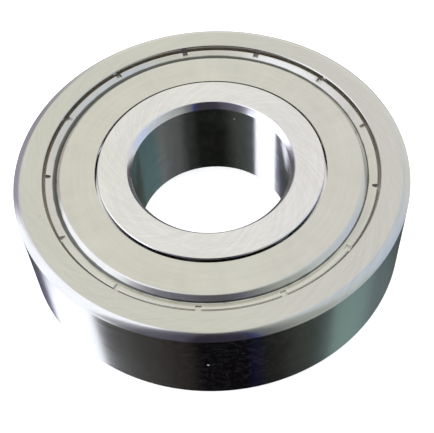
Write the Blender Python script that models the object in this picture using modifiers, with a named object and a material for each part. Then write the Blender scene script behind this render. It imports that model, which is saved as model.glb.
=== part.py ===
"""Deep-groove ball bearing with a pressed steel shield on each side.

It has a 25 mm bore, a 62 mm outside diameter and a width of 17 mm. The script is in
metres, with +Z up. The origin is the middle of the bearing: the bore's axis is Z, and
the ring faces stand half the width above and below the origin.

The outer ring holds both shields. The inner ring turns in it on seven balls, which a
cage of two pressed halves, joined by seven rivets, carries round at an even pitch.
"""

import math

import bmesh
import bpy
from mathutils import Matrix, Vector

# Driving dimensions.
BORE_RADIUS = 0.0125
OUTSIDE_RADIUS = 0.031
HALF_WIDTH = 0.0085
BALL_COUNT = 7
BALL_RADIUS = 0.0115094 / 2
PITCH_RADIUS = (BORE_RADIUS + OUTSIDE_RADIUS) / 2

# What pieces that touch keep between them.
TOUCH_GAP = 0.0003

# Races: a groove a little wider than the ball, and the shoulders beside it.
RACE_GROOVE_RADIUS = 1.04 * BALL_RADIUS
RACE_CLEARANCE = 0.0001
INNER_SHOULDER_RADIUS = 0.0183
OUTER_SHOULDER_RADIUS = 0.0252

# Ring corners: how far each reaches along the face and down the side, and how far its round
# turns. At the bore a steep lead-in chamfer comes below the round.
OUTSIDE_CORNER = (0.0014, 0.0008)
OUTSIDE_CORNER_TURN = math.radians(34)
BORE_ROUND = (0.0004, 0.00021)
BORE_ROUND_TURN = math.radians(48)
BORE_CHAMFER = (0.0006, 0.0008)

# The inner ring's land, stepped in from the shoulder so that the shield runs over it.
LAND_RADIUS = 0.01785
LAND_CHAMFER = 0.00015
LAND_DEPTH = 0.0015

# The outer ring's recess: a chamfered lip, and under it the groove that grips the shield.
LIP_RADIUS = 0.0264
LIP_CHAMFER = 0.00014
GROOVE_RADIUS = 0.0273
GROOVE_TOP_DEPTH = 0.00085
GROOVE_FLOOR_DEPTH = 0.0022

# The shield: thin sheet, flat beside the inner ring, that dips into a valley, rises to a rib
# inside the lip, and ends in the groove. Each bend is a straight run before it, a radius, and
# how far it turns downwards.
SHEET_THICKNESS = 0.0004
SHIELD_BORE_RADIUS = 0.01825
SHIELD_FLAT_DEPTH = 0.0003
SHIELD_DIP = [
    (0.00515, 0.0008, math.radians(38)),
    (0.00076, 0.0003, math.radians(-38)),
]
SHIELD_RIB = [
    (0.0, 0.0003, math.radians(-25)),
    (0.00102, 0.00025, math.radians(115)),
    (0.00031, 0.0001, math.radians(-90)),
]
SHIELD_EDGE_RADIUS = 0.0270

# Notches cut through the rib, down to just above the valley's floor.
SLOT_COUNT = 13
SLOT_START_ANGLE = math.radians(14.2)
SLOT_WIDTH = 0.0009
SLOT_INNER_RADIUS = 0.0252
SLOT_FLOOR_DEPTH = 0.00098

# The cage: two halves of pressed ribbon that meet at mid-width.
CAGE_THICKNESS = 0.0008
CAGE_HALF_RIBBON = 0.0024
POCKET_CLEARANCE = 0.00025
RIVET_RADIUS = 0.0009
RIVET_HEAD_RADIUS = 0.0016
RIVET_HEAD_HEIGHT = 0.0006
RIVET_HEAD_TOP_ANGLE = math.radians(60)

# Facets round a full turn, and points along the arcs of an outline.
RING_STEPS = 4 * SLOT_COUNT
CAGE_STEPS = 4 * BALL_COUNT
BALL_STEPS = 18
POCKET_STEPS = 16
RIVET_STEPS = 10
RACE_POINTS = 5
BEND_POINTS = 3
CORNER_POINTS = 3
SMOOTH_ANGLE = math.radians(25)
MERGE_DISTANCE = 1e-6

# What a cutter or an envelope reaches beyond the piece that it shapes.
CUT_MARGIN = 0.002

BALL_ANGLES = [math.tau * i / BALL_COUNT for i in range(BALL_COUNT)]
RIVET_ANGLES = [angle + math.pi / BALL_COUNT for angle in BALL_ANGLES]
SLOT_ANGLES = [SLOT_START_ANGLE + math.tau * i / SLOT_COUNT for i in range(SLOT_COUNT)]


def clear_scene():
    for obj in list(bpy.data.objects):
        bpy.data.objects.remove(obj)


def new_collection(name):
    collection = bpy.data.collections.new(name)
    bpy.context.scene.collection.children.link(collection)
    return collection


def new_material(name, colour, roughness):
    """Bare steel of one kind."""
    material = bpy.data.materials.new(name)
    material.use_nodes = True
    shader = material.node_tree.nodes["Principled BSDF"]
    shader.inputs["Base Color"].default_value = (*colour, 1.0)
    shader.inputs["Roughness"].default_value = roughness
    shader.inputs["Metallic"].default_value = 1.0
    return material


def new_part(name, mesh, collection, parent=None):
    """A named piece. Copies of a piece share its mesh, which holds the material."""
    part = bpy.data.objects.new(name, mesh)
    part.parent = parent
    collection.objects.link(part)
    return part


def new_helper(name, mesh, collection):
    """A cutter or an envelope, which shapes a piece and isn't one itself."""
    helper = bpy.data.objects.new(name, mesh)
    helper.hide_render = True
    helper.display_type = "WIRE"
    collection.objects.link(helper)
    return helper


def mesh_of(shape, name):
    mesh = bpy.data.meshes.new(name)
    shape.to_mesh(mesh)
    shape.free()
    return mesh


def on_circle(angle, radius, height=0.0):
    """Carries something from the origin to a place about the axis, turned to face outwards."""
    return Matrix.Rotation(angle, 4, "Z") @ Matrix.Translation((radius, 0, height))


def add_boolean(obj, operation, other):
    modifier = obj.modifiers.new(operation.lower(), "BOOLEAN")
    modifier.operation = operation
    modifier.solver = "EXACT"
    modifier.object = other


def baked_mesh(obj, material=None):
    """The object's shape as a plain mesh, smooth between its real edges. The object goes."""
    bpy.context.view_layer.update()
    graph = bpy.context.evaluated_depsgraph_get()
    mesh = bpy.data.meshes.new_from_object(obj.evaluated_get(graph), depsgraph=graph)
    mesh.name = obj.name
    bpy.data.objects.remove(obj)
    mesh.shade_smooth()
    mesh.set_sharp_from_angle(angle=SMOOTH_ANGLE)
    mesh.materials.clear()
    if material:
        mesh.materials.append(material)
    return mesh


def turned_object(name, profile, steps, collection, closed=True):
    """An outline of (radius, height) points at +X, which a Screw modifier turns about Z."""
    mesh = bpy.data.meshes.new(name)
    points = [(radius, 0, height) for radius, height in profile]
    edges = [(i, i + 1) for i in range(len(points) - 1)]
    if closed:
        edges.append((len(points) - 1, 0))
    mesh.from_pydata(points, edges, [])
    obj = bpy.data.objects.new(name, mesh)
    collection.objects.link(obj)
    screw = obj.modifiers.new("turn", "SCREW")
    screw.axis = "Z"
    screw.angle = math.tau
    screw.steps = steps
    screw.render_steps = steps
    screw.use_merge_vertices = True
    screw.merge_threshold = MERGE_DISTANCE
    return obj


def arc(centre, radii, start, end, count):
    """Points on an ellipse. Its angles run from the radial direction towards the axial one."""
    angles = [start + (end - start) * i / (count - 1) for i in range(count)]
    return [(centre[0] + radii[0] * math.cos(a), centre[1] + radii[1] * math.sin(a)) for a in angles]


def bowed(start, end, turn, count):
    """Points on a round from start to end that turns by an angle and bulges to its left."""
    start, end = Vector(start), Vector(end)
    left = (end - start).orthogonal().normalized()
    radius = (end - start).length / (2 * math.sin(turn / 2))
    centre = (start + end) / 2 - left * radius * math.cos(turn / 2)
    angles = [turn / 2 - turn * i / (count - 1) for i in range(count)]
    return [(centre + Matrix.Rotation(a, 2) @ left * radius)[:] for a in angles]


def bent(start, bends, count):
    """Points along a sheet that starts level and outwards, with a run and a bend at a time."""
    place, heading = Vector(start), 0.0
    points = [place[:]]
    for run, radius, turn in bends:
        if run:
            place += Vector((math.cos(heading), math.sin(heading))) * run
            points.append(place[:])
        side = math.copysign(radius, -turn)
        centre = place + Vector((-math.sin(heading), math.cos(heading))) * side
        for step in range(1, count):
            swing = Matrix.Rotation(-turn * step / (count - 1), 2)
            points.append((centre + swing @ (place - centre))[:])
        place, heading = Vector(points[-1]), heading - turn
    return points


def rectangle(inner, outer, low, high):
    return [(outer, high), (outer, low), (inner, low), (inner, high)]


def mirrored(upper):
    """Closes an outline, given down to mid-width, with its mirror image below."""
    return upper + [(radius, -height) for radius, height in reversed(upper) if height > 0]


def outer_ring_profile():
    """Starts in the middle of the race, and goes over the face to the outside."""
    centre = PITCH_RADIUS + BALL_RADIUS + RACE_CLEARANCE - RACE_GROOVE_RADIUS
    edge_angle = math.acos((OUTER_SHOULDER_RADIUS - centre) / RACE_GROOVE_RADIUS)
    race = arc((centre, 0), (RACE_GROOVE_RADIUS, RACE_GROOVE_RADIUS), 0, edge_angle, RACE_POINTS)
    recess = [
        (OUTER_SHOULDER_RADIUS, HALF_WIDTH - GROOVE_FLOOR_DEPTH),
        (GROOVE_RADIUS, HALF_WIDTH - GROOVE_FLOOR_DEPTH),
        (GROOVE_RADIUS, HALF_WIDTH - GROOVE_TOP_DEPTH),
        (LIP_RADIUS, HALF_WIDTH - GROOVE_TOP_DEPTH),
        (LIP_RADIUS, HALF_WIDTH - LIP_CHAMFER),
        (LIP_RADIUS + LIP_CHAMFER, HALF_WIDTH),
    ]
    face_edge = (OUTSIDE_RADIUS - OUTSIDE_CORNER[0], HALF_WIDTH)
    side_edge = (OUTSIDE_RADIUS, HALF_WIDTH - OUTSIDE_CORNER[1])
    return mirrored(race + recess + bowed(face_edge, side_edge, OUTSIDE_CORNER_TURN, CORNER_POINTS))


def inner_ring_profile():
    """Starts on the bore, and goes over the face and the land to the middle of the race."""
    centre = PITCH_RADIUS - BALL_RADIUS - RACE_CLEARANCE + RACE_GROOVE_RADIUS
    edge_angle = math.acos((centre - INNER_SHOULDER_RADIUS) / RACE_GROOVE_RADIUS)
    round_edge = (BORE_RADIUS + BORE_CHAMFER[0], HALF_WIDTH - BORE_ROUND[1])
    side_edge = (BORE_RADIUS, round_edge[1] - BORE_CHAMFER[1])
    face_edge = (round_edge[0] + BORE_ROUND[0], HALF_WIDTH)
    bore_corner = bowed(round_edge, face_edge, BORE_ROUND_TURN, CORNER_POINTS)
    step = [
        (LAND_RADIUS - LAND_CHAMFER, HALF_WIDTH),
        (LAND_RADIUS, HALF_WIDTH - LAND_CHAMFER),
        (LAND_RADIUS, HALF_WIDTH - LAND_DEPTH),
        (INNER_SHOULDER_RADIUS, HALF_WIDTH - LAND_DEPTH),
    ]
    groove = (RACE_GROOVE_RADIUS, RACE_GROOVE_RADIUS)
    race = arc((centre, 0), groove, math.pi - edge_angle, math.pi, RACE_POINTS)
    race[-1] = (centre - RACE_GROOVE_RADIUS, 0)
    return mirrored([side_edge] + bore_corner + step + race)


def shield_profile():
    """The shield's section: over the dip and the rib to the edge, and back along the underside."""
    start = (SHIELD_BORE_RADIUS, HALF_WIDTH - SHIELD_FLAT_DEPTH)
    upper = bent(start, SHIELD_DIP + SHIELD_RIB, BEND_POINTS)
    under_dip = [
        (run, radius - math.copysign(SHEET_THICKNESS, turn), turn) for run, radius, turn in SHIELD_DIP
    ]
    lower = bent((start[0], start[1] - SHEET_THICKNESS), under_dip, BEND_POINTS)
    edge = [(SHIELD_EDGE_RADIUS, upper[-1][1]), (SHIELD_EDGE_RADIUS, lower[-1][1])]
    return upper + edge + lower[::-1]


def slots_mesh():
    """A box for each notch. It reaches from the rib's slope to the gap inside the lip."""
    size = Matrix.Diagonal((LIP_RADIUS - SLOT_INNER_RADIUS, SLOT_WIDTH, CUT_MARGIN, 1))
    height = HALF_WIDTH - SLOT_FLOOR_DEPTH + CUT_MARGIN / 2
    shape = bmesh.new()
    for angle in SLOT_ANGLES:
        place = on_circle(angle, (SLOT_INNER_RADIUS + LIP_RADIUS) / 2, height)
        bmesh.ops.create_cube(shape, size=1, matrix=place @ size)
    return mesh_of(shape, "slot_cutters")


def shield_mesh(material, pieces, helpers):
    """The turned section, with its rib notched."""
    shield = turned_object("shield", shield_profile(), RING_STEPS, pieces)
    add_boolean(shield, "DIFFERENCE", new_helper("slot_cutters", slots_mesh(), helpers))
    return baked_mesh(shield, material)


def spheres_mesh(name, radius):
    """A sphere at each ball's place."""
    shape = bmesh.new()
    for angle in BALL_ANGLES:
        bmesh.ops.create_uvsphere(
            shape,
            u_segments=POCKET_STEPS,
            v_segments=POCKET_STEPS // 2,
            radius=radius,
            matrix=on_circle(angle, PITCH_RADIUS),
        )
    return mesh_of(shape, name)


def rivet_holes_mesh():
    shape = bmesh.new()
    for angle in RIVET_ANGLES:
        bmesh.ops.create_cone(
            shape,
            cap_ends=True,
            segments=RIVET_STEPS,
            radius1=RIVET_RADIUS + TOUCH_GAP,
            radius2=RIVET_RADIUS + TOUCH_GAP,
            depth=2 * CUT_MARGIN,
            matrix=on_circle(angle, PITCH_RADIUS),
        )
    return mesh_of(shape, "rivet_hole_cutters")


def cage_half_mesh(material, pieces, helpers):
    """Ribbon that lies flat between the balls and bulges over each of them."""
    inner = PITCH_RADIUS - CAGE_HALF_RIBBON
    outer = PITCH_RADIUS + CAGE_HALF_RIBBON
    seam = TOUCH_GAP / 2
    pocket_radius = BALL_RADIUS + POCKET_CLEARANCE
    bulge_radius = pocket_radius + CAGE_THICKNESS

    lands = rectangle(inner - CUT_MARGIN, outer + CUT_MARGIN, -CUT_MARGIN, seam + CAGE_THICKNESS)
    lands_mesh = baked_mesh(turned_object("cage_lands", lands, CAGE_STEPS, helpers))
    envelope = new_helper("cage_envelope", lands_mesh, helpers)
    bulges = new_helper("cage_bulges", spheres_mesh("cage_bulges", bulge_radius), helpers)
    add_boolean(envelope, "UNION", bulges)

    ribbon = rectangle(inner, outer, seam, bulge_radius + CUT_MARGIN)
    half = turned_object("cage_half", ribbon, CAGE_STEPS, pieces)
    add_boolean(half, "INTERSECT", envelope)
    pockets = new_helper("pocket_cutters", spheres_mesh("pocket_cutters", pocket_radius), helpers)
    add_boolean(half, "DIFFERENCE", pockets)
    add_boolean(half, "DIFFERENCE", new_helper("rivet_hole_cutters", rivet_holes_mesh(), helpers))
    return baked_mesh(half, material)


def rivet_mesh(material, pieces):
    """A shank with a low domed head on each end, over the lands that it holds together."""
    head_base = TOUCH_GAP / 2 + CAGE_THICKNESS + TOUCH_GAP
    dome = (RIVET_HEAD_RADIUS, RIVET_HEAD_HEIGHT)
    upper = [(0, head_base + RIVET_HEAD_HEIGHT)]
    upper += arc((0, head_base), dome, RIVET_HEAD_TOP_ANGLE, 0, CORNER_POINTS)
    upper.append((RIVET_RADIUS, head_base))
    lower = [(radius, -height) for radius, height in reversed(upper)]
    return baked_mesh(turned_object("rivet", upper + lower, RIVET_STEPS, pieces, closed=False), material)


def ball_mesh(material):
    shape = bmesh.new()
    bmesh.ops.create_uvsphere(
        shape, u_segments=BALL_STEPS, v_segments=BALL_STEPS // 2, radius=BALL_RADIUS
    )
    mesh = mesh_of(shape, "ball")
    mesh.shade_smooth()
    mesh.materials.append(material)
    return mesh


def build_rings(pieces):
    steel = new_material("ring_steel", (0.62, 0.61, 0.58), 0.28)
    for name, profile in (
        ("outer_ring", outer_ring_profile()),
        ("inner_ring", inner_ring_profile()),
    ):
        ring = baked_mesh(turned_object(name, profile, RING_STEPS, pieces), steel)
        new_part(name, ring, pieces)


def build_shields(pieces, helpers):
    """The lower shield is the upper one turned over about X."""
    steel = new_material("shield_steel", (0.66, 0.65, 0.58), 0.35)
    shield = shield_mesh(steel, pieces, helpers)
    new_part("upper_shield", shield, pieces)
    new_part("lower_shield", shield, pieces).rotation_euler.x = math.pi


def build_cage(cage_axis, pieces, helpers):
    """The lower half is the upper one turned over about X, which keeps the first pocket in line."""
    steel = new_material("cage_steel", (0.50, 0.49, 0.46), 0.42)
    half = cage_half_mesh(steel, pieces, helpers)
    new_part("upper_cage_half", half, pieces, cage_axis)
    new_part("lower_cage_half", half, pieces, cage_axis).rotation_euler.x = math.pi


def build_round_pitch_circle(name, mesh, angles, cage_axis, pieces):
    """A copy of the mesh at each angle, with its origin on the pitch circle."""
    for number, angle in enumerate(angles, start=1):
        part = new_part(f"{name}_{number}", mesh, pieces, cage_axis)
        part.location = on_circle(angle, PITCH_RADIUS).translation
        part.rotation_euler.z = angle


def build():
    clear_scene()
    pieces = new_collection("ball_bearing")
    helpers = new_collection("cutters")
    cage_axis = bpy.data.objects.new("cage_axis", None)
    cage_axis.empty_display_size = PITCH_RADIUS
    pieces.objects.link(cage_axis)

    build_rings(pieces)
    build_shields(pieces, helpers)
    build_cage(cage_axis, pieces, helpers)

    ball = ball_mesh(new_material("ball_steel", (0.72, 0.72, 0.73), 0.06))
    build_round_pitch_circle("ball", ball, BALL_ANGLES, cage_axis, pieces)
    rivet = rivet_mesh(new_material("rivet_steel", (0.56, 0.55, 0.53), 0.35), pieces)
    build_round_pitch_circle("cage_rivet", rivet, RIVET_ANGLES, cage_axis, pieces)


build()
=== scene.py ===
"""Looks of a shielded deep-groove ball bearing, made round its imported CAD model.

Everything is in metres, in the frame of the CAD: the bore's axis is Z, and the origin is
the middle of the bearing. The fine pieces repeat the CAD's own outlines with more points.
"""

import math

import bmesh
import bpy
from mathutils import Euler, Matrix, Vector


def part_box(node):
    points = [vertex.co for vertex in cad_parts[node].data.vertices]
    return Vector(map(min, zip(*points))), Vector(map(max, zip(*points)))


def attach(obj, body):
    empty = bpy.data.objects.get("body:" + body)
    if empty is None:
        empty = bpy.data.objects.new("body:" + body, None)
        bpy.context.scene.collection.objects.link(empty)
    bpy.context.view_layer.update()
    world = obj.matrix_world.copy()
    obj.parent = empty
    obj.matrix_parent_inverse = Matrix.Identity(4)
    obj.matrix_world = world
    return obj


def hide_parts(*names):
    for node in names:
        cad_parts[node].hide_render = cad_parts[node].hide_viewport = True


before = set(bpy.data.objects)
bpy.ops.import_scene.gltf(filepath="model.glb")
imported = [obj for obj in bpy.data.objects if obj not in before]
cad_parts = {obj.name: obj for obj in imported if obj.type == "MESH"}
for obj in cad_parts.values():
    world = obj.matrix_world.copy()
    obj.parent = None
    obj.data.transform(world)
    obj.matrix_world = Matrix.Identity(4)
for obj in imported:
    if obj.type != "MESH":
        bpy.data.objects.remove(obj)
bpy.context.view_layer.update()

# Sizes that come from the CAD.
OUTSIDE_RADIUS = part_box("outer_ring")[1].x
HALF_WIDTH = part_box("outer_ring")[1].z
BALL_COUNT = sum(name.startswith("ball_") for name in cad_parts)
BALL_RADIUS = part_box("ball_1")[1].z
BORE_RADIUS = 0.0125
PITCH_RADIUS = (BORE_RADIUS + OUTSIDE_RADIUS) / 2

# Outlines that repeat the CAD's. A corner's two sizes are along the radius and the axis.
RACE_GROOVE_RADIUS = 1.04 * BALL_RADIUS
RACE_CLEARANCE = 0.0001
INNER_SHOULDER_RADIUS = 0.0183
OUTER_SHOULDER_RADIUS = 0.0252
OUTSIDE_CORNER = (0.0014, 0.0008)
OUTSIDE_CORNER_TURN = math.radians(34)
BORE_ROUND = (0.0004, 0.00021)
BORE_ROUND_TURN = math.radians(48)
BORE_CHAMFER = (0.0006, 0.0008)
LAND_RADIUS = 0.01785
LAND_CORNER = 0.00015
EDGE_TURN = math.radians(46)
LAND_DEPTH = 0.0015
LIP_RADIUS = 0.0264
LIP_CORNER = 0.00014
GROOVE_RADIUS = 0.0273
GROOVE_TOP_DEPTH = 0.00085
GROOVE_FLOOR_DEPTH = 0.0022

SHEET_THICKNESS = 0.0004
SHIELD_BORE_RADIUS = 0.01825
SHIELD_FLAT_DEPTH = 0.0003
# Each bend is a straight run before it, a radius, and how far it turns downwards.
SHIELD_DIP = [
    (0.00515, 0.0008, math.radians(38)),
    (0.00076, 0.0003, math.radians(-38)),
]
SHIELD_RIB = [
    (0.0, 0.0003, math.radians(-25)),
    (0.00102, 0.00025, math.radians(115)),
    (0.00031, 0.0001, math.radians(-90)),
]
SHIELD_EDGE_RADIUS = 0.0270
SLOT_COUNT = 13
SLOT_START_ANGLE = math.radians(14.2)
SLOT_WIDTH = 0.0009
SLOT_INNER_RADIUS = 0.0252
SLOT_FLOOR_DEPTH = 0.00098

CAGE_THICKNESS = 0.0008
CAGE_HALF_RIBBON = 0.0024
TOUCH_GAP = 0.0003
POCKET_CLEARANCE = 0.00025
RIVET_RADIUS = 0.0009
RIVET_HEAD_RADIUS = 0.0016
RIVET_HEAD_HEIGHT = 0.0006

# Fineness: facets round a full turn, and points along the arcs of an outline.
RING_STEPS = 20 * SLOT_COUNT
CAGE_STEPS = 16 * BALL_COUNT
BALL_STEPS = 48
POCKET_STEPS = 48
RIVET_STEPS = 32
RACE_POINTS = 14
CORNER_POINTS = 8
BEND_POINTS = 9
SMOOTH_ANGLE = math.radians(16)
FLATS_WEIGHT = 100
MERGE_DISTANCE = 1e-6
CUT_MARGIN = 0.002

# Painted shade that darkens the shields' valley crease: the radius that it follows,
# and how far it spreads to each side. It is thickest towards one direction, and its edge
# wanders by part of its reach.
VALLEY_SHADE_RADIUS = 0.02455
VALLEY_SHADE_REACH = 0.0005
VALLEY_SHADE_THINNEST = 0.4
VALLEY_SHADE_WANDER = 0.3
VALLEY_SHADE_DIRECTION = (-0.6, 0.8)
VALLEY_SHADE_COLOUR = (0.075, 0.08, 0.07)
VALLEY_SHADE_COVER = 0.92

# Pressed sheet is a little dull. Brown dust lies on the shields from this radius outwards,
# in the gap beside the lip.
SHEET_METALLIC = 0.85
GAP_DUST_RADIUS = 0.02604
GAP_DUST_FADE = 0.00003
GAP_DUST_COLOUR = (0.62, 0.55, 0.44)

# How much the marks draw out a highlight, and the part of a turn that points it across them.
GROUND_ANISOTROPY = 0.8
PRESSED_ANISOTROPY = 0.3
ACROSS_MARKS = 0.25

# The least and the most of its roughness that a finish shows from place to place.
GROUND_WEAR = (0.8, 1.2)
PRESSED_WEAR = (0.85, 1.2)

# A ball's finish: the roughness from the clearest to the haziest place, and the haze's tint.
BALL_ROUGHNESS = 0.05
BALL_WEAR = (0.6, 1.4)
HAZE_TINT = 0.94

# Pits in ground steel: the spacing of the places for them, the share of places that have
# one, a pit's radius, and the part of that radius where it is full. Dust lies between them,
# and takes up to its own share of the shine.
PIT_SPACING = 0.0022
PIT_SHARE = 0.08
PIT_RADIUS = 0.00022
PIT_CORE = 0.6
DUST_SHARE = 0.02

BALL_ANGLES = [math.tau * i / BALL_COUNT for i in range(BALL_COUNT)]
RIVET_ANGLES = [angle + math.pi / BALL_COUNT for angle in BALL_ANGLES]
SLOT_ANGLES = [SLOT_START_ANGLE + math.tau * i / SLOT_COUNT for i in range(SLOT_COUNT)]

# Turns a piece of the upper side over, to the lower side.
OVER = Matrix.Rotation(math.pi, 4, "X")

# Camera, at the height and tilt that show the bearing from above its near side.
CAMERA_AIM = Vector((0.0005, -0.0067, HALF_WIDTH - 0.0049))
CAMERA_DISTANCE = 0.1418
CAMERA_ELEVATION = math.radians(53.9)
CAMERA_ROLL = math.radians(3.6)
CAMERA_LENS = 75.2
CAMERA_NEAREST = 0.001

# Floor and backdrop.
FLOOR_RADIUS = 3.0
FLOOR_DROP = 0.0002
FLOOR_SEGMENTS = 64
FLOOR_COLOUR = (0.95, 0.95, 0.95)
FLOOR_GLOW = 0.85
BACKDROP_COLOUR = (1.0, 1.0, 1.0)
BACKDROP_GLOW = 1.0


# Meshes.


def mesh_of(shape, name):
    mesh = bpy.data.meshes.new(name)
    shape.to_mesh(mesh)
    shape.free()
    return mesh


def add_object(name, mesh):
    obj = bpy.data.objects.new(name, mesh)
    bpy.context.scene.collection.objects.link(obj)
    return obj


def on_circle(angle, radius, height=0.0):
    """Carries something from the origin to a place about the axis, turned to face outwards."""
    return Matrix.Rotation(angle, 4, "Z") @ Matrix.Translation((radius, 0, height))


def add_boolean(obj, operation, other):
    modifier = obj.modifiers.new(operation.lower(), "BOOLEAN")
    modifier.operation = operation
    modifier.solver = "EXACT"
    modifier.object = other


def baked_mesh(obj, *helpers):
    """The object's shape as a plain mesh, smooth between its real edges. The objects go."""
    bpy.context.view_layer.update()
    graph = bpy.context.evaluated_depsgraph_get()
    mesh = bpy.data.meshes.new_from_object(obj.evaluated_get(graph), depsgraph=graph)
    mesh.name = obj.name
    for done in (obj, *helpers):
        bpy.data.objects.remove(done)
    mesh.shade_smooth()
    mesh.set_sharp_from_angle(angle=SMOOTH_ANGLE)
    return mesh


def turned_object(name, profile, steps, closed=True):
    """An outline of (radius, height) points at +X, which a Screw modifier turns about Z."""
    mesh = bpy.data.meshes.new(name)
    points = [(radius, 0, height) for radius, height in profile]
    edges = [(i, i + 1) for i in range(len(points) - 1)]
    if closed:
        edges.append((len(points) - 1, 0))
    mesh.from_pydata(points, edges, [])
    obj = add_object(name, mesh)
    screw = obj.modifiers.new("turn", "SCREW")
    screw.axis = "Z"
    screw.angle = math.tau
    screw.steps = steps
    screw.render_steps = steps
    screw.use_merge_vertices = True
    screw.merge_threshold = MERGE_DISTANCE
    return obj


def arc(centre, radii, start, end, count):
    """Points on an ellipse. Its angles run from the radial direction towards the axial one."""
    angles = [start + (end - start) * i / (count - 1) for i in range(count)]
    return [
        (centre[0] + radii[0] * math.cos(a), centre[1] + radii[1] * math.sin(a)) for a in angles
    ]


def bowed(start, end, turn, count):
    """Points on a round from start to end that turns by an angle and bulges to its left."""
    start, end = Vector(start), Vector(end)
    left = (end - start).orthogonal().normalized()
    radius = (end - start).length / (2 * math.sin(turn / 2))
    centre = (start + end) / 2 - left * radius * math.cos(turn / 2)
    angles = [turn / 2 - turn * i / (count - 1) for i in range(count)]
    return [(centre + Matrix.Rotation(a, 2) @ left * radius)[:] for a in angles]


def bent(start, bends, count):
    """Points along a sheet that starts level and outwards, with a run and a bend at a time."""
    place, heading = Vector(start), 0.0
    points = [place[:]]
    for run, radius, turn in bends:
        if run:
            place += Vector((math.cos(heading), math.sin(heading))) * run
            points.append(place[:])
        side = math.copysign(radius, -turn)
        centre = place + Vector((-math.sin(heading), math.cos(heading))) * side
        for step in range(1, count):
            swing = Matrix.Rotation(-turn * step / (count - 1), 2)
            points.append((centre + swing @ (place - centre))[:])
        place, heading = Vector(points[-1]), heading - turn
    return points


def rectangle(inner, outer, low, high):
    return [(outer, high), (outer, low), (inner, low), (inner, high)]


def mirrored(upper):
    """Closes an outline, given down to mid-width, with its mirror image below."""
    return upper + [(radius, -height) for radius, height in reversed(upper) if height > 0]


def outer_ring_profile():
    """Starts in the middle of the race, and goes over the face to the outside."""
    centre = PITCH_RADIUS + BALL_RADIUS + RACE_CLEARANCE - RACE_GROOVE_RADIUS
    edge_angle = math.acos((OUTER_SHOULDER_RADIUS - centre) / RACE_GROOVE_RADIUS)
    race = arc((centre, 0), (RACE_GROOVE_RADIUS, RACE_GROOVE_RADIUS), 0, edge_angle, RACE_POINTS)
    recess = [
        (OUTER_SHOULDER_RADIUS, HALF_WIDTH - GROOVE_FLOOR_DEPTH),
        (GROOVE_RADIUS, HALF_WIDTH - GROOVE_FLOOR_DEPTH),
        (GROOVE_RADIUS, HALF_WIDTH - GROOVE_TOP_DEPTH),
        (LIP_RADIUS, HALF_WIDTH - GROOVE_TOP_DEPTH),
    ]
    lip_wall = (LIP_RADIUS, HALF_WIDTH - LIP_CORNER)
    lip_face = (LIP_RADIUS + LIP_CORNER, HALF_WIDTH)
    lip = bowed(lip_wall, lip_face, EDGE_TURN, CORNER_POINTS)
    face_edge = (OUTSIDE_RADIUS - OUTSIDE_CORNER[0], HALF_WIDTH)
    side_edge = (OUTSIDE_RADIUS, HALF_WIDTH - OUTSIDE_CORNER[1])
    outside = bowed(face_edge, side_edge, OUTSIDE_CORNER_TURN, CORNER_POINTS)
    return mirrored(race + recess + lip + outside)


def inner_ring_profile():
    """Starts on the bore, and goes over the face and the land to the middle of the race."""
    centre = PITCH_RADIUS - BALL_RADIUS - RACE_CLEARANCE + RACE_GROOVE_RADIUS
    edge_angle = math.acos((centre - INNER_SHOULDER_RADIUS) / RACE_GROOVE_RADIUS)
    round_edge = (BORE_RADIUS + BORE_CHAMFER[0], HALF_WIDTH - BORE_ROUND[1])
    side_edge = (BORE_RADIUS, round_edge[1] - BORE_CHAMFER[1])
    face_edge = (round_edge[0] + BORE_ROUND[0], HALF_WIDTH)
    bore_corner = bowed(round_edge, face_edge, BORE_ROUND_TURN, CORNER_POINTS)
    land_face = (LAND_RADIUS - LAND_CORNER, HALF_WIDTH)
    land_side = (LAND_RADIUS, HALF_WIDTH - LAND_CORNER)
    land_corner = bowed(land_face, land_side, EDGE_TURN, CORNER_POINTS)
    step = [
        (LAND_RADIUS, HALF_WIDTH - LAND_DEPTH),
        (INNER_SHOULDER_RADIUS, HALF_WIDTH - LAND_DEPTH),
    ]
    groove = (RACE_GROOVE_RADIUS, RACE_GROOVE_RADIUS)
    race = arc((centre, 0), groove, math.pi - edge_angle, math.pi, RACE_POINTS)
    race[-1] = (centre - RACE_GROOVE_RADIUS, 0)
    return mirrored([side_edge] + bore_corner + land_corner + step + race)


def shield_profile():
    """The shield's section: over the dip and the rib to the edge, and back along the underside."""
    start = (SHIELD_BORE_RADIUS, HALF_WIDTH - SHIELD_FLAT_DEPTH)
    upper = bent(start, SHIELD_DIP + SHIELD_RIB, BEND_POINTS)
    under_dip = [
        (run, radius - math.copysign(SHEET_THICKNESS, turn), turn)
        for run, radius, turn in SHIELD_DIP
    ]
    lower = bent((start[0], start[1] - SHEET_THICKNESS), under_dip, BEND_POINTS)
    edge = [(SHIELD_EDGE_RADIUS, upper[-1][1]), (SHIELD_EDGE_RADIUS, lower[-1][1])]
    return upper + edge + lower[::-1]


def slots_mesh():
    """A box for each notch. It reaches from the rib's inner slope to the gap inside the lip."""
    size = Matrix.Diagonal((LIP_RADIUS - SLOT_INNER_RADIUS, SLOT_WIDTH, CUT_MARGIN, 1))
    height = HALF_WIDTH - SLOT_FLOOR_DEPTH + CUT_MARGIN / 2
    shape = bmesh.new()
    for angle in SLOT_ANGLES:
        place = on_circle(angle, (SLOT_INNER_RADIUS + LIP_RADIUS) / 2, height)
        bmesh.ops.create_cube(shape, size=1, matrix=place @ size)
    return mesh_of(shape, "slots")


def shield_mesh():
    shield = turned_object("shield", shield_profile(), RING_STEPS)
    slots = add_object("slots", slots_mesh())
    add_boolean(shield, "DIFFERENCE", slots)
    return baked_mesh(shield, slots)


def spheres_mesh(name, radius):
    """A sphere at each ball's place."""
    shape = bmesh.new()
    for angle in BALL_ANGLES:
        bmesh.ops.create_uvsphere(
            shape,
            u_segments=POCKET_STEPS,
            v_segments=POCKET_STEPS // 2,
            radius=radius,
            matrix=on_circle(angle, PITCH_RADIUS),
        )
    return mesh_of(shape, name)


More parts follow.
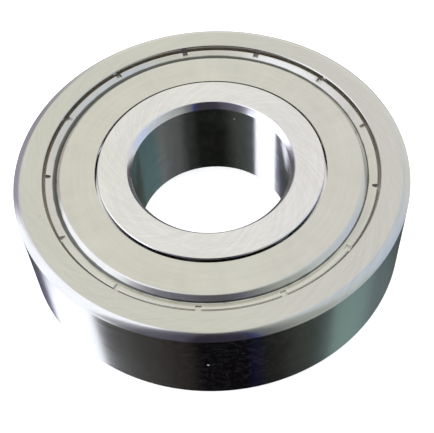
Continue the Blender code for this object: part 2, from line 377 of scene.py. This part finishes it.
def rivet_holes_mesh():
    shape = bmesh.new()
    for angle in RIVET_ANGLES:
        bmesh.ops.create_cone(
            shape,
            cap_ends=True,
            segments=RIVET_STEPS,
            radius1=RIVET_RADIUS + TOUCH_GAP,
            radius2=RIVET_RADIUS + TOUCH_GAP,
            depth=2 * CUT_MARGIN,
            matrix=on_circle(angle, PITCH_RADIUS),
        )
    return mesh_of(shape, "rivet_holes")


def cage_half_mesh():
    """Ribbon that lies flat between the balls and bulges over each of them."""
    inner = PITCH_RADIUS - CAGE_HALF_RIBBON
    outer = PITCH_RADIUS + CAGE_HALF_RIBBON
    seam = TOUCH_GAP / 2
    pocket_radius = BALL_RADIUS + POCKET_CLEARANCE
    bulge_radius = pocket_radius + CAGE_THICKNESS

    lands = rectangle(inner - CUT_MARGIN, outer + CUT_MARGIN, -CUT_MARGIN, seam + CAGE_THICKNESS)
    envelope = turned_object("cage_lands", lands, CAGE_STEPS)
    bulges = add_object("cage_bulges", spheres_mesh("cage_bulges", bulge_radius))
    add_boolean(envelope, "UNION", bulges)
    envelope = add_object("cage_envelope", baked_mesh(envelope, bulges))

    ribbon = rectangle(inner, outer, seam, bulge_radius + CUT_MARGIN)
    half = turned_object("cage_half", ribbon, CAGE_STEPS)
    pockets = add_object("pockets", spheres_mesh("pockets", pocket_radius))
    holes = add_object("rivet_holes", rivet_holes_mesh())
    add_boolean(half, "INTERSECT", envelope)
    add_boolean(half, "DIFFERENCE", pockets)
    add_boolean(half, "DIFFERENCE", holes)
    return baked_mesh(half, envelope, pockets, holes)


def rivet_mesh():
    """A shank with a low domed head on each end."""
    head_base = TOUCH_GAP / 2 + CAGE_THICKNESS + TOUCH_GAP
    dome = (RIVET_HEAD_RADIUS, RIVET_HEAD_HEIGHT)
    upper = arc((0, head_base), dome, math.pi / 2, 0, CORNER_POINTS)
    upper[0] = (0, head_base + RIVET_HEAD_HEIGHT)
    upper.append((RIVET_RADIUS, head_base))
    lower = [(radius, -height) for radius, height in reversed(upper)]
    return baked_mesh(turned_object("rivet", upper + lower, RIVET_STEPS, closed=False))


def ball_mesh():
    shape = bmesh.new()
    bmesh.ops.create_uvsphere(
        shape, u_segments=BALL_STEPS, v_segments=BALL_STEPS // 2, radius=BALL_RADIUS
    )
    mesh = mesh_of(shape, "ball")
    mesh.shade_smooth()
    return mesh


# Materials.


def add_node(tree, kind, **settings):
    node = tree.nodes.new(kind)
    for name, value in settings.items():
        setattr(node, name, value)
    return node


def feed(tree, socket, value):
    """Links the value to the socket, or sets it there if it is a plain number or colour."""
    if isinstance(value, bpy.types.NodeSocket):
        tree.links.new(value, socket)
    else:
        socket.default_value = value


def calculate(tree, operation, *values):
    node = add_node(tree, "ShaderNodeMath", operation=operation)
    for socket, value in zip(node.inputs, values):
        feed(tree, socket, value)
    return node.outputs[0]


def vector_of(tree, x, y, z):
    node = add_node(tree, "ShaderNodeCombineXYZ")
    for socket, value in zip(node.inputs, (x, y, z)):
        feed(tree, socket, value)
    return node.outputs[0]


def noise_of(tree, vector, scale, detail=2.0):
    node = add_node(tree, "ShaderNodeTexNoise")
    feed(tree, node.inputs["Vector"], vector)
    node.inputs["Scale"].default_value = scale
    node.inputs["Detail"].default_value = detail
    return node.outputs["Fac"]


def remap(tree, value, low, high, to_low=0.0, to_high=1.0):
    """Maps low to to_low and high to to_high, straight between them and level beyond them."""
    node = add_node(tree, "ShaderNodeMapRange")
    feed(tree, node.inputs["Value"], value)
    for name, number in (
        ("From Min", low),
        ("From Max", high),
        ("To Min", to_low),
        ("To Max", to_high),
    ):
        node.inputs[name].default_value = number
    return node.outputs["Result"]


def colour_ramp(tree, value, stops):
    """Stops are (position, linear colour) pairs, in order."""
    node = add_node(tree, "ShaderNodeValToRGB")
    ramp = node.color_ramp
    ramp.interpolation = "EASE"
    while len(ramp.elements) < len(stops):
        ramp.elements.new(1.0)
    for element, (position, colour) in zip(ramp.elements, stops):
        element.position = position
        element.color = (*colour, 1.0)
    feed(tree, node.inputs["Fac"], value)
    return node.outputs["Color"]


def mix_colour(tree, factor, first, second):
    """Goes from the first colour to the second. Each is a socket or three plain numbers."""
    node = add_node(tree, "ShaderNodeMix", data_type="RGBA")
    feed(tree, node.inputs["Factor"], factor)
    for name, colour in (("A", first), ("B", second)):
        linked = isinstance(colour, bpy.types.NodeSocket)
        feed(tree, node.inputs[name], colour if linked else (*colour, 1.0))
    return node.outputs["Result"]


class RoundMaterial:
    """A metal with marks that follow its turning about Z: lines round the axis and across it."""

    def __init__(self, name, roughness, anisotropy, metallic=1.0):
        self.material = bpy.data.materials.new(name)
        self.material.use_nodes = True
        self.tree = self.material.node_tree
        self.shader = self.tree.nodes["Principled BSDF"]
        self.shader.inputs["Metallic"].default_value = metallic
        self.shader.inputs["Roughness"].default_value = roughness
        self.shader.inputs["Anisotropic"].default_value = anisotropy
        self.shader.inputs["Anisotropic Rotation"].default_value = ACROSS_MARKS
        tangent = add_node(self.tree, "ShaderNodeTangent", direction_type="RADIAL", axis="Z")
        self.tree.links.new(tangent.outputs[0], self.shader.inputs["Tangent"])

        self.point = add_node(self.tree, "ShaderNodeTexCoord").outputs["Object"]
        split = add_node(self.tree, "ShaderNodeSeparateXYZ")
        self.tree.links.new(self.point, split.inputs[0])
        x, y, self.z = split.outputs
        squares = [calculate(self.tree, "MULTIPLY", value, value) for value in (x, y)]
        self.radius = calculate(self.tree, "SQRT", calculate(self.tree, "ADD", *squares))
        self.east = calculate(self.tree, "DIVIDE", x, self.radius)
        self.north = calculate(self.tree, "DIVIDE", y, self.radius)
        self.along = calculate(self.tree, "ADD", self.radius, self.z)

    def lines_round(self, pitch, reach):
        """Noise that changes over a pitch across the marks, and over a reach along them.

        The pitch is in metres, and the reach is in radii.
        """
        vector = vector_of(
            self.tree,
            calculate(self.tree, "DIVIDE", self.along, pitch),
            calculate(self.tree, "MULTIPLY", self.east, 1 / reach),
            calculate(self.tree, "MULTIPLY", self.north, 1 / reach),
        )
        return noise_of(self.tree, vector, 1.0)

    def lines_across(self, count, length, swirl=0.0):
        """Noise that changes about count times in a turn, and over a length along the marks.

        Swirl slants the marks, by that many radians for each metre outwards.
        """
        turned = add_node(self.tree, "ShaderNodeVectorRotate", rotation_type="Z_AXIS")
        outwards = vector_of(self.tree, self.east, self.north, 0.0)
        self.tree.links.new(outwards, turned.inputs["Vector"])
        slant = calculate(self.tree, "MULTIPLY", self.radius, swirl)
        self.tree.links.new(slant, turned.inputs["Angle"])
        split = add_node(self.tree, "ShaderNodeSeparateXYZ")
        self.tree.links.new(turned.outputs[0], split.inputs[0])
        step = count / math.tau
        vector = vector_of(
            self.tree,
            calculate(self.tree, "MULTIPLY", split.outputs[0], step),
            calculate(self.tree, "MULTIPLY", split.outputs[1], step),
            calculate(self.tree, "DIVIDE", self.along, length),
        )
        return noise_of(self.tree, vector, 1.0)

    def spots(self, spacing, share, radius):
        """Spots at a share of a loose pattern's places, full at the core and gone at a radius."""
        cells = add_node(self.tree, "ShaderNodeTexVoronoi", feature="F1")
        cells.inputs["Scale"].default_value = 1 / spacing
        self.tree.links.new(self.point, cells.inputs["Vector"])
        lot = add_node(self.tree, "ShaderNodeSeparateColor")
        self.tree.links.new(cells.outputs["Color"], lot.inputs[0])
        chosen = calculate(self.tree, "LESS_THAN", lot.outputs["Red"], share)
        size = radius / spacing
        near = remap(self.tree, cells.outputs["Distance"], size * PIT_CORE, size, 1.0, 0.0)
        return calculate(self.tree, "MULTIPLY", chosen, near)

    def set_roughness(self, pattern, low, high, roughness, wear):
        """Roughness that goes from its least to its most as the pattern goes from low to high."""
        least, most = (roughness * change for change in wear)
        changing = remap(self.tree, pattern, low, high, least, most)
        feed(self.tree, self.shader.inputs["Roughness"], changing)

    def set_bump(self, height, distance):
        bump = add_node(self.tree, "ShaderNodeBump")
        bump.inputs["Strength"].default_value = 1.0
        bump.inputs["Distance"].default_value = distance
        feed(self.tree, bump.inputs["Height"], height)
        self.tree.links.new(bump.outputs[0], self.shader.inputs["Normal"])


def sum_of(tree, *weighted):
    """Adds (value, weight) pairs."""
    total = None
    for value, weight in weighted:
        scaled = calculate(tree, "MULTIPLY", value, weight)
        total = scaled if total is None else calculate(tree, "ADD", total, scaled)
    return total


def ground_steel(name, colour, dark, roughness):
    """Ground bearing steel: fine lines round the axis, marks across them, dust and a few pits."""
    made = RoundMaterial(name, roughness, GROUND_ANISOTROPY)
    tree = made.tree
    fine = made.lines_round(pitch=0.00012, reach=0.12)
    broad = made.lines_round(pitch=0.0009, reach=0.5)
    across = made.lines_across(count=150, length=0.006, swirl=90)
    patches = noise_of(tree, made.point, scale=90.0, detail=3.0)
    shade = sum_of(tree, (fine, 0.3), (broad, 0.2), (across, 0.3), (patches, 0.2))
    tone = remap(tree, shade, low=0.38, high=0.62)
    feed(tree, made.shader.inputs["Base Color"], mix_colour(tree, tone, dark, colour))
    pits = made.spots(PIT_SPACING, PIT_SHARE, PIT_RADIUS)
    specks = noise_of(tree, made.point, scale=1100.0, detail=4.0)
    dust = remap(tree, specks, low=0.45, high=0.7, to_high=DUST_SHARE)
    dull = calculate(tree, "MAXIMUM", pits, dust)
    feed(tree, made.shader.inputs["Metallic"], calculate(tree, "SUBTRACT", 1.0, dull))
    wear = sum_of(tree, (broad, 0.5), (patches, 0.5))
    made.set_roughness(wear, 0.35, 0.65, roughness, GROUND_WEAR)
    made.set_bump(sum_of(tree, (fine, 0.6), (across, 0.4)), distance=0.0000006)
    return made.material


def painted_valley_shade(made, across, unshaded):
    """Painted shade that darkens the shields' valley crease, and lies thickest towards one side.
    """
    tree = made.tree
    off = calculate(tree, "ABSOLUTE", calculate(tree, "SUBTRACT", made.radius, VALLEY_SHADE_RADIUS))
    side = sum_of(tree, (made.north, VALLEY_SHADE_DIRECTION[1]), (made.east, VALLEY_SHADE_DIRECTION[0]))
    reach = remap(tree, side, -0.5, 0.8, VALLEY_SHADE_REACH * VALLEY_SHADE_THINNEST, VALLEY_SHADE_REACH)
    wavy = sum_of(tree, (off, 1.0), (across, VALLEY_SHADE_REACH * VALLEY_SHADE_WANDER))
    amount = remap(tree, calculate(tree, "DIVIDE", wavy, reach), 0.8, 1.2, VALLEY_SHADE_COVER, 0.0)
    return mix_colour(tree, amount, unshaded, VALLEY_SHADE_COLOUR)


def pressed_steel(name, colour, dark, roughness, valley_shade_and_dust=False):
    """Bright rolled sheet, a little yellow from its oil. The shield's sheet also gets painted
    shade in its valley crease, and dust by the lip.
    """
    made = RoundMaterial(name, roughness, PRESSED_ANISOTROPY, metallic=SHEET_METALLIC)
    tree = made.tree
    patches = noise_of(tree, made.point, scale=160.0, detail=4.0)
    drawn = made.lines_round(pitch=0.0005, reach=0.4)
    across = made.lines_across(count=90, length=0.01)
    shade = sum_of(tree, (patches, 0.45), (drawn, 0.3), (across, 0.25))
    tone = remap(tree, shade, low=0.36, high=0.64)
    surface = mix_colour(tree, tone, dark, colour)
    if valley_shade_and_dust:
        # Painted shade: darkens the valley crease, thickest towards one side.
        surface = painted_valley_shade(made, across, surface)
        dusty = remap(tree, made.radius, GAP_DUST_RADIUS - GAP_DUST_FADE, GAP_DUST_RADIUS)
        surface = mix_colour(tree, dusty, surface, GAP_DUST_COLOUR)
        metallic = remap(tree, dusty, 0.0, 1.0, SHEET_METALLIC, 0.0)
        feed(tree, made.shader.inputs["Metallic"], metallic)
    feed(tree, made.shader.inputs["Base Color"], surface)
    made.set_roughness(patches, 0.3, 0.7, roughness, PRESSED_WEAR)
    made.set_bump(sum_of(tree, (patches, 0.6), (drawn, 0.4)), distance=0.000003)
    return made.material


def lapped_steel(name, colour):
    """A ball's mirror finish, with the faintest haze."""
    made = RoundMaterial(name, BALL_ROUGHNESS, anisotropy=0.0)
    tree = made.tree
    haze = noise_of(tree, made.point, scale=600.0, detail=3.0)
    made.set_roughness(haze, 0.3, 0.7, BALL_ROUGHNESS, BALL_WEAR)
    hazed = [channel * HAZE_TINT for channel in colour]
    feed(tree, made.shader.inputs["Base Color"], mix_colour(tree, haze, hazed, colour))
    return made.material


# Surroundings.


def make_camera():
    data = bpy.data.cameras.new("camera")
    data.lens = CAMERA_LENS
    data.clip_start = CAMERA_NEAREST
    camera = add_object("camera", data)
    tilt = Euler((math.pi / 2 - CAMERA_ELEVATION, 0, 0)).to_matrix()
    roll = Matrix.Rotation(-CAMERA_ROLL, 3, "Z")
    back = tilt @ Vector((0, 0, 1))
    place = Matrix.Translation(CAMERA_AIM + back * CAMERA_DISTANCE)
    camera.matrix_world = place @ (tilt @ roll).to_4x4()
    bpy.context.scene.camera = camera


def emission_material(name, colour, strength):
    material = bpy.data.materials.new(name)
    material.use_nodes = True
    shader = material.node_tree.nodes["Principled BSDF"]
    shader.inputs["Base Color"].default_value = (*colour, 1.0)
    shader.inputs["Roughness"].default_value = 1.0
    shader.inputs["Specular IOR Level"].default_value = 0.0
    shader.inputs["Emission Color"].default_value = (*colour, 1.0)
    shader.inputs["Emission Strength"].default_value = strength
    return material


def make_floor():
    """A pale floor under the bearing and a pale dome round it, which the steel doesn't mirror."""
    shape = bmesh.new()
    place = Matrix.Translation((0, 0, -HALF_WIDTH - FLOOR_DROP))
    bmesh.ops.create_circle(
        shape, cap_ends=True, segments=FLOOR_SEGMENTS, radius=FLOOR_RADIUS, matrix=place
    )
    floor = add_object("floor", mesh_of(shape, "floor"))
    floor.data.materials.append(emission_material("floor_white", FLOOR_COLOUR, FLOOR_GLOW))
    floor.visible_glossy = False

    shape = bmesh.new()
    bmesh.ops.create_uvsphere(
        shape, u_segments=FLOOR_SEGMENTS, v_segments=FLOOR_SEGMENTS // 2, radius=FLOOR_RADIUS
    )
    dome = add_object("backdrop", mesh_of(shape, "backdrop"))
    backdrop = emission_material("backdrop_white", BACKDROP_COLOUR, BACKDROP_GLOW)
    dome.data.materials.append(backdrop)
    dome.visible_glossy = False
    dome.visible_diffuse = False
    dome.visible_shadow = False


# What the steel mirrors, in rings one above the other. Each ring gives the light from each
# compass direction, in degrees from +X towards +Y, so the camera's side is at 270.
WHITE_CARD = (1.58, 1.63, 1.85)
CREAM_CARD = (1.0, 1.0, 0.935)

# The table close by: dark in front, white card on its left, grey-green paper on its right.
TABLE_LIGHT = (
    (0, (0.26, 0.38, 0.37)),
    (12, (0.25, 0.36, 0.36)),
    (28, (0.16, 0.20, 0.22)),
    (60, (0.13, 0.16, 0.16)),
    (137, (0.15, 0.135, 0.235)),
    (141, WHITE_CARD),
    (183, WHITE_CARD),
    (185, (0.17, 0.17, 0.19)),
    (200, (0.10, 0.10, 0.105)),
    (220, (0.06, 0.058, 0.058)),
    (244, (0.034, 0.028, 0.028)),
    (258, (0.004, 0.003, 0.005)),
    (286, (0.004, 0.003, 0.005)),
    (292, (0.006, 0.006, 0.03)),
    (300, (0.014, 0.014, 0.014)),
    (331, (0.05, 0.057, 0.053)),
    (343, (0.09, 0.12, 0.125)),
    (350, (0.26, 0.38, 0.37)),
)

# The table further off.
FAR_TABLE_LIGHT = (
    (0, (0.087, 0.146, 0.153)),
    (32, (0.087, 0.146, 0.145)),
    (42, (0.05, 0.065, 0.055)),
    (70, (0.045, 0.055, 0.045)),
    (125, (0.06, 0.07, 0.06)),
    (155, (0.10, 0.10, 0.14)),
    (159, WHITE_CARD),
    (196, WHITE_CARD),
    (200, (0.09, 0.10, 0.11)),
    (222, (0.055, 0.064, 0.055)),
    (251, (0.008, 0.010, 0.007)),
    (280, (0.008, 0.010, 0.007)),
    (298, (0.032, 0.036, 0.033)),
    (318, (0.11, 0.115, 0.115)),
    (345, (0.14, 0.145, 0.145)),
)

# Just above the table's edge.
LEVEL_LIGHT = (
    (0, (0.70, 0.80, 1.05)),
    (30, (0.95, 0.97, 0.97)),
    (100, (1.1, 1.1, 1.05)),
    (122, (0.45, 0.43, 0.52)),
    (148, (0.50, 0.47, 0.62)),
    (160, WHITE_CARD),
    (215, WHITE_CARD),
    (224, (0.35, 0.35, 0.37)),
    (233, (0.10, 0.095, 0.09)),
    (258, (0.07, 0.065, 0.06)),
    (280, (0.06, 0.055, 0.055)),
    (286, (0.06, 0.07, 0.16)),
    (291, (0.20, 0.20, 0.22)),
    (302, (0.55, 0.57, 0.55)),
    (340, (0.65, 0.72, 0.78)),
)

# Half-way up.
MIDDLE_LIGHT = (
    (0, (0.80, 0.88, 1.08)),
    (30, (0.85, 0.90, 1.0)),
    (62, (1.0, 0.985, 0.99)),
    (78, (1.0, 0.985, 0.97)),
    (92, CREAM_CARD),
    (122, CREAM_CARD),
    (145, (0.95, 0.93, 1.02)),
    (165, WHITE_CARD),
    (202, WHITE_CARD),
    (214, (0.55, 0.55, 0.66)),
    (230, (0.18, 0.18, 0.25)),
    (250, (0.11, 0.105, 0.15)),
    (258, (0.04, 0.035, 0.06)),
    (282, (0.04, 0.035, 0.06)),
    (287, (0.045, 0.06, 0.21)),
    (291, (0.20, 0.21, 0.23)),
    (320, (0.50, 0.53, 0.52)),
    (342, (0.78, 0.86, 0.92)),
)

# The heights, as sines, between which one light gives way to the next.
TABLE_TO_FAR_TABLE = (-0.84, -0.79)
FAR_TABLE_TO_LEVEL = (-0.45, -0.2)
LEVEL_TO_MIDDLE = (0.35, 0.50)
MIDDLE_TO_OVERHEAD = (0.972, 0.988)


def light_round(tree, compass, stops):
    """A light that changes with the compass direction, and closes on itself at 360 degrees."""
    ring = [*stops, (360, stops[0][1])]
    return colour_ramp(tree, compass, [(degrees / 360, colour) for degrees, colour in ring])


def make_world():
    """A studio that the polished steel mirrors, in lights one above the other."""
    world = bpy.data.worlds.new("studio")
    world.use_nodes = True
    bpy.context.scene.world = world
    tree = world.node_tree
    background = tree.nodes["Background"]
    direction = add_node(tree, "ShaderNodeTexCoord").outputs["Generated"]
    split = add_node(tree, "ShaderNodeSeparateXYZ")
    tree.links.new(direction, split.inputs[0])
    x, y, z = split.outputs
    angle = calculate(tree, "ARCTAN2", y, x)
    compass = calculate(tree, "FRACT", calculate(tree, "DIVIDE", angle, math.tau))

    light = light_round(tree, compass, TABLE_LIGHT)
    for (low, high), upper in (
        (TABLE_TO_FAR_TABLE, light_round(tree, compass, FAR_TABLE_LIGHT)),
        (FAR_TABLE_TO_LEVEL, light_round(tree, compass, LEVEL_LIGHT)),
        (LEVEL_TO_MIDDLE, light_round(tree, compass, MIDDLE_LIGHT)),
        (MIDDLE_TO_OVERHEAD, CREAM_CARD),
    ):
        light = mix_colour(tree, remap(tree, z, low, high, 0.0, 1.0), light, upper)
    tree.links.new(light, background.inputs["Color"])
    background.inputs["Strength"].default_value = 1.0


# The bearing.


def new_piece(name, mesh, material, body, node, matrix=None):
    """A fine piece that stands for a CAD node and moves with its body."""
    piece = add_object(name, mesh)
    if not mesh.materials:
        mesh.materials.append(material)
    if matrix is not None:
        piece.matrix_world = matrix
    shading = piece.modifiers.new("flats_stay_flat", "WEIGHTED_NORMAL")
    shading.keep_sharp = True
    shading.weight = FLATS_WEIGHT
    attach(piece, body)
    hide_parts(node)


def make_rings():
    outer = ground_steel(
        "outer_ring_steel", colour=(0.615, 0.61, 0.565), dark=(0.56, 0.555, 0.515), roughness=0.13
    )
    inner = ground_steel(
        "inner_ring_steel", colour=(0.78, 0.77, 0.765), dark=(0.67, 0.66, 0.66), roughness=0.14
    )
    for name, profile, steel in (
        ("outer_ring", outer_ring_profile(), outer),
        ("inner_ring", inner_ring_profile(), inner),
    ):
        mesh = baked_mesh(turned_object(name, profile, RING_STEPS))
        new_piece(f"fine_{name}", mesh, steel, name, name)


def make_shields():
    steel = pressed_steel(
        "shield_sheet",
        colour=(0.66, 0.65, 0.585),
        dark=(0.60, 0.59, 0.535),
        roughness=0.2,
        # The shield's sheet gets painted shade in its valley crease, and dust by the lip.
        valley_shade_and_dust=True,
    )
    mesh = shield_mesh()
    new_piece("fine_upper_shield", mesh, steel, "outer_ring", "upper_shield")
    new_piece("fine_lower_shield", mesh, steel, "outer_ring", "lower_shield", OVER)


def make_cage():
    steel = pressed_steel(
        "cage_sheet", colour=(0.52, 0.51, 0.48), dark=(0.44, 0.43, 0.41), roughness=0.4
    )
    mesh = cage_half_mesh()
    new_piece("fine_upper_cage_half", mesh, steel, "cage", "upper_cage_half")
    new_piece("fine_lower_cage_half", mesh, steel, "cage", "lower_cage_half", OVER)


def make_rivets():
    steel = pressed_steel(
        "rivet_steel", colour=(0.58, 0.57, 0.55), dark=(0.50, 0.49, 0.47), roughness=0.32
    )
    mesh = rivet_mesh()
    for number, angle in enumerate(RIVET_ANGLES, start=1):
        node = f"cage_rivet_{number}"
        place = on_circle(angle, PITCH_RADIUS)
        new_piece(f"fine_{node}", mesh, steel, "cage", node, place)


def make_balls():
    steel = lapped_steel("ball_steel", colour=(0.74, 0.74, 0.75))
    mesh = ball_mesh()
    for number, angle in enumerate(BALL_ANGLES, start=1):
        node = f"ball_{number}"
        place = on_circle(angle, PITCH_RADIUS)
        new_piece(f"fine_{node}", mesh, steel, node, node, place)


make_camera()
make_floor()
make_world()
make_rings()
make_shields()
make_cage()
make_rivets()
make_balls()
bpy.context.scene.view_settings.view_transform = "Standard"
